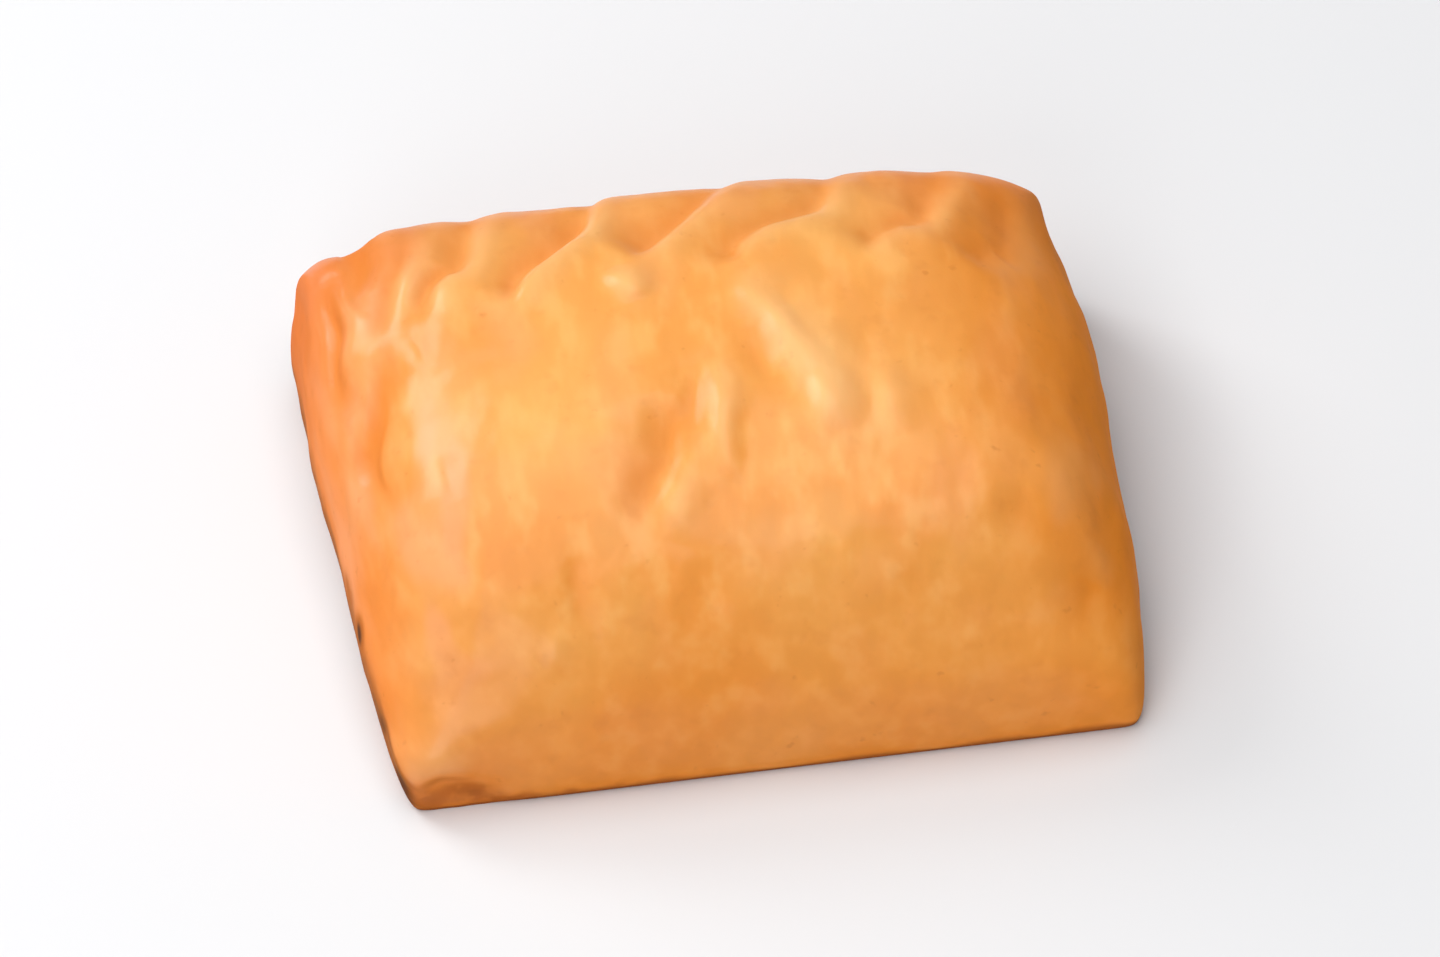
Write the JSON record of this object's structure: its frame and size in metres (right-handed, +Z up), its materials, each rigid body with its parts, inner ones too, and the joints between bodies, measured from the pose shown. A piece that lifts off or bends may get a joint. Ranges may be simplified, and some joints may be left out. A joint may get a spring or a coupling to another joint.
{
  "type": "cheese fatayer",
  "caption": "Baked savoury pastry parcel: a domed golden pillow of dough with a folded front edge, low folds in its top skin, a rope-crimped back edge and a flat base.",
  "frame": {"origin": "middle of the flat base that the pastry lies on", "axes": "+X across the pastry along its folded front edge, +Y from that front edge to the crimped back edge, +Z up"},
  "size_m": [0.0826, 0.063, 0.0285],
  "materials": {
    "crust": "satin egg-washed baked dough crust, golden orange, browner along the folds and the base"
  },
  "bodies": {
    "root": {"pastry": "crust"}
  },
  "joints": []
}
